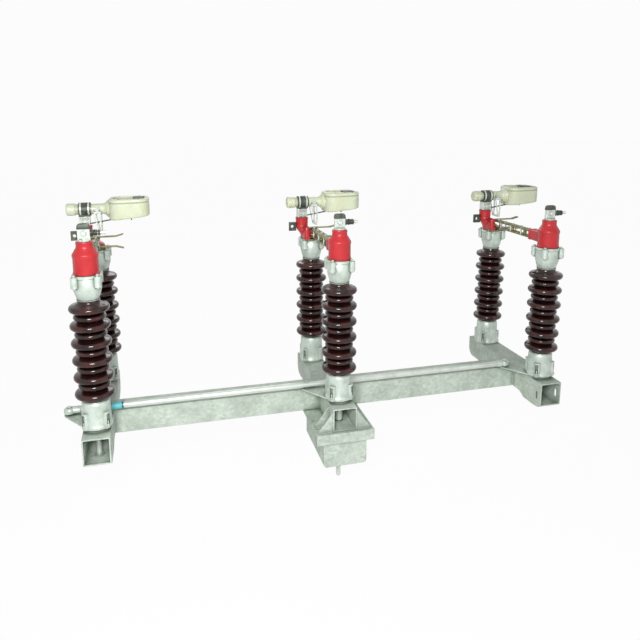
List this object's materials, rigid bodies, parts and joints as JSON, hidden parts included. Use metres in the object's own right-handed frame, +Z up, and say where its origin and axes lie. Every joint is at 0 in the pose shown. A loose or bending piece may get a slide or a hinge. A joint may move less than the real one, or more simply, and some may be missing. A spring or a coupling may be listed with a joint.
{
  "type": "load break switch",
  "caption": "Three-pole side-break load break switch: steel frame, brown porcelain posts, turning blades, jaws with interrupters, joined cranks and a drive shaft.",
  "frame": {"origin": "centre of the four bolt holes in the mounting plate, on its underside", "axes": "+X along the main beam to the right-hand pole, +Y from the turning front posts to the fixed rear posts, +Z up along the posts"},
  "size_m": [2.137, 0.63, 1.101],
  "materials": {
    "galvanised_steel": "hot-dip galvanised, spangled, dull",
    "cast_fittings": "galvanised casting, pale grey",
    "brown_glaze": "dark brown gloss glaze",
    "contact_metal": "tarnished, olive",
    "red_cover": "moulded, satin",
    "dark_fittings": "dark weathered metal",
    "cream_housing": "cast resin, satin",
    "bright_pins": "bright zinc",
    "bright_fittings": "bright zinc",
    "blue_band": "wrapped tape"
  },
  "bodies": {
    "frame": {"cross_arms": "galvanised_steel", "main_beam": "galvanised_steel", "mounting_plate": "galvanised_steel", "gussets": "galvanised_steel", "mechanism_box": "galvanised_steel", "bearings": "cast_fittings", "rear_feet": "cast_fittings", "rear_porcelains": "brown_glaze", "rear_caps": "cast_fittings", "jaws": "contact_metal", "rear_boots": "red_cover", "rear_terminals": "dark_fittings", "rear_brackets": "dark_fittings", "tube_clamps": "dark_fittings", "interrupters": "cream_housing", "support_straps": "dark_fittings", "lever_pins": "bright_pins"},
    "rotor_left": {"spindle_left": "bright_pins", "crank_left": "galvanised_steel", "foot_left": "cast_fittings", "porcelain_left": "brown_glaze", "cap_left": "cast_fittings", "hinge_cover_left": "red_cover", "blade_left": "contact_metal"},
    "terminal_left": {"terminal_left": "dark_fittings"},
    "trip_lever_left": {"trip_lever_left": "bright_fittings"},
    "rotor_centre": {"drive_shaft": "bright_pins", "crank_centre": "galvanised_steel", "foot_centre": "cast_fittings", "porcelain_centre": "brown_glaze", "cap_centre": "cast_fittings", "hinge_cover_centre": "red_cover", "blade_centre": "contact_metal"},
    "terminal_centre": {"terminal_centre": "dark_fittings"},
    "trip_lever_centre": {"trip_lever_centre": "bright_fittings"},
    "rotor_right": {"spindle_right": "bright_pins", "crank_right": "galvanised_steel", "foot_right": "cast_fittings", "porcelain_right": "brown_glaze", "cap_right": "cast_fittings", "hinge_cover_right": "red_cover", "blade_right": "contact_metal"},
    "terminal_right": {"terminal_right": "dark_fittings"},
    "trip_lever_right": {"trip_lever_right": "bright_fittings"},
    "interphase_rod": {"rod_tube": "galvanised_steel", "rod_ends": "cast_fittings", "rod_pins": "bright_pins", "rod_band": "blue_band"}
  },
  "joints": [
    {"name": "main_drive", "type": "hinge", "parent": "frame", "child": "rotor_centre", "pos_m": [0, 0.015, 0.098], "axis": [0, 0, -1], "range_deg": [0, 90]},
    {"name": "turn_left", "type": "hinge", "parent": "frame", "child": "rotor_left", "pos_m": [-0.9, 0.015, 0.098], "axis": [0, 0, -1], "range_deg": [0, 90]},
    {"name": "turn_right", "type": "hinge", "parent": "frame", "child": "rotor_right", "pos_m": [0.9, 0.015, 0.098], "axis": [0, 0, -1], "range_deg": [0, 90]},
    {"name": "rod_pivot", "type": "hinge", "parent": "rotor_centre", "child": "interphase_rod", "pos_m": [-0.105, 0.12, 0.1238], "axis": [0, 0, -1], "range_deg": [-90, 0]},
    {"name": "swivel_left", "type": "hinge", "parent": "rotor_left", "child": "terminal_left", "pos_m": [-0.9, 0.015, 0.776], "axis": [0, 0, -1], "range_deg": [-90, 0]},
    {"name": "swivel_centre", "type": "hinge", "parent": "rotor_centre", "child": "terminal_centre", "pos_m": [0, 0.015, 0.776], "axis": [0, 0, -1], "range_deg": [-90, 0]},
    {"name": "swivel_right", "type": "hinge", "parent": "rotor_right", "child": "terminal_right", "pos_m": [0.9, 0.015, 0.776], "axis": [0, 0, -1], "range_deg": [-90, 0]},
    {"name": "trip_left", "type": "hinge", "parent": "frame", "child": "trip_lever_left", "pos_m": [-0.892, 0.46, 0.826], "axis": [0, -1, 0], "range_deg": [0, 25], "stiffness_Nm_per_rad": 0.4},
    {"name": "trip_centre", "type": "hinge", "parent": "frame", "child": "trip_lever_centre", "pos_m": [0.008, 0.46, 0.826], "axis": [0, -1, 0], "range_deg": [0, 25], "stiffness_Nm_per_rad": 0.4},
    {"name": "trip_right", "type": "hinge", "parent": "frame", "child": "trip_lever_right", "pos_m": [0.908, 0.46, 0.826], "axis": [0, -1, 0], "range_deg": [0, 25], "stiffness_Nm_per_rad": 0.4}
  ],
  "couplings": [
    {"joint": "turn_left", "follows": "main_drive", "ratio": 1},
    {"joint": "turn_right", "follows": "main_drive", "ratio": 1},
    {"joint": "rod_pivot", "follows": "main_drive", "ratio": -1},
    {"joint": "swivel_left", "follows": "main_drive", "ratio": -1},
    {"joint": "swivel_centre", "follows": "main_drive", "ratio": -1},
    {"joint": "swivel_right", "follows": "main_drive", "ratio": -1}
  ]
}
